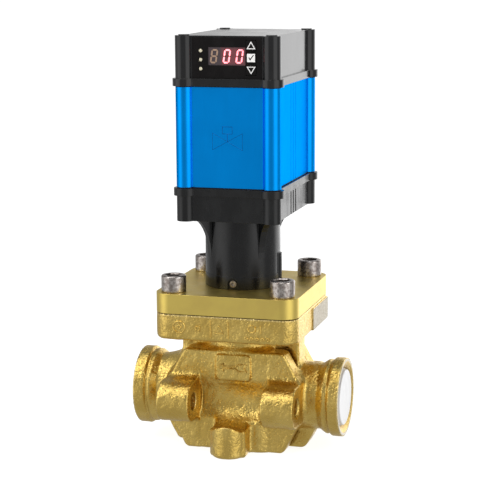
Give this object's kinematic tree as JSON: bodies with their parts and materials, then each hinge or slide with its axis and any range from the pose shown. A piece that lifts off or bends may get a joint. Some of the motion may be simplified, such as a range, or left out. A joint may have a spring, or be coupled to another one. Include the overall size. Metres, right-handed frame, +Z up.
{
  "type": "motorized valve actuator",
  "caption": "Motorised valve: actuator head with display and keys on a ribbed neck, clamped to the bonnet of a cast straight-through valve body.",
  "frame": {"origin": "middle of the base, under the vertical axis of the valve", "axes": "+Z up along the valve axis, ports along X, display and keys face -Y"},
  "size_m": [0.156, 0.1387, 0.3043],
  "materials": {
    "cast_gold": "sand-cast, yellow passivated",
    "bonnet_olive": "milled, yellow passivated, satin",
    "screw_steel": "bright, lightly scratched",
    "machined_steel": "turned",
    "blue_anodised": "blue anodised, satin",
    "black_gloss": "glossy black",
    "black_satin": "satin black with faint clouding",
    "black_rubber": "matt",
    "white_plastic": "smooth white",
    "label_film": "satin black film",
    "display_dark": "smoked",
    "digit_dark": "unlit segment",
    "digit_red": "lit red segment",
    "led_clear": "clear dome",
    "key_film": "satin black film",
    "board_green": "solder mask",
    "component_dark": "moulded",
    "winding_copper": "taped winding",
    "magnet_grey": "sintered magnet",
    "bronze": "turned bronze",
    "seal_white": "ptfe"
  },
  "bodies": {
    "valve_frame": {"valve_body": "cast_gold", "seat_ring": "machined_steel", "guide_cylinder": "machined_steel", "guide_pins": "machined_steel", "can_retainer": "machined_steel", "can_seal": "black_rubber", "seal_can": "machined_steel", "spindle_bearing_lower": "machined_steel", "spindle_bearing_upper": "bronze", "bonnet_gasket": "black_rubber", "bonnet": "bonnet_olive", "bonnet_screws": "screw_steel", "bottom_cap": "black_satin", "neck_set_screws": "screw_steel", "motor_plate": "machined_steel", "plate_screws": "screw_steel", "motor_screws": "screw_steel", "motor_cap_lower": "machined_steel", "motor_stator": "magnet_grey", "motor_cap_upper": "machined_steel", "motor_bearings": "machined_steel", "lower_gasket": "black_rubber", "housing": "blue_anodised", "upper_gasket": "black_rubber", "top_cap": "black_gloss", "tie_screws": "screw_steel", "screw_plugs": "black_gloss", "cable_glands": "screw_steel", "gland_nuts": "screw_steel", "control_board": "board_green", "supply_board": "board_green", "supply_capacitors": "component_dark", "supply_transformer": "winding_copper", "display_board": "board_green", "key_switches": "component_dark", "display_module": "display_dark", "digits_unlit": "digit_dark", "digits_lit": "digit_red", "front_label": "label_film", "status_leds": "led_clear"},
    "drive_rotor": {"motor_rotor": "machined_steel", "outer_magnet_cup": "machined_steel", "outer_magnets": "magnet_grey", "cup_set_screw": "machined_steel"},
    "spindle_rotor": {"spindle": "machined_steel", "inner_magnet": "magnet_grey"},
    "cone_slider": {"valve_cone": "machined_steel", "cone_seal": "seal_white", "spindle_nut": "bronze"},
    "up_button": {"key_up": "key_film"},
    "enter_button": {"key_enter": "key_film"},
    "down_button": {"key_down": "key_film"},
    "right_plug": {"port_plug_right": "white_plastic"},
    "left_plug": {"port_plug_left": "white_plastic"}
  },
  "joints": [
    {"name": "drive_turn", "type": "hinge", "parent": "valve_frame", "child": "drive_rotor", "pos_m": [0, 0, 0.17], "axis": [0, 0, 1], "range_deg": [0, 1080]},
    {"name": "spindle_turn", "type": "hinge", "parent": "valve_frame", "child": "spindle_rotor", "pos_m": [0, 0, 0.13], "axis": [0, 0, 1], "range_deg": [0, 1080]},
    {"name": "cone_lift", "type": "slide", "parent": "valve_frame", "child": "cone_slider", "axis": [0, 0, 1], "range_m": [0, 0.012]},
    {"name": "up_press", "type": "slide", "parent": "valve_frame", "child": "up_button", "axis": [0, 1, 0], "range_m": [0, 0.00035], "stiffness_N_per_m": 400, "springref_m": -0.001},
    {"name": "enter_press", "type": "slide", "parent": "valve_frame", "child": "enter_button", "axis": [0, 1, 0], "range_m": [0, 0.00035], "stiffness_N_per_m": 400, "springref_m": -0.001},
    {"name": "down_press", "type": "slide", "parent": "valve_frame", "child": "down_button", "axis": [0, 1, 0], "range_m": [0, 0.00035], "stiffness_N_per_m": 400, "springref_m": -0.001},
    {"name": "right_plug_pull", "type": "slide", "parent": "valve_frame", "child": "right_plug", "axis": [1, 0, 0], "range_m": [0, 0.02]},
    {"name": "left_plug_pull", "type": "slide", "parent": "valve_frame", "child": "left_plug", "axis": [-1, 0, 0], "range_m": [0, 0.02]}
  ],
  "couplings": [
    {"joint": "spindle_turn", "follows": "drive_turn", "ratio": 1},
    {"joint": "cone_lift", "follows": "drive_turn", "m_per_rad": 0.00063661}
  ]
}
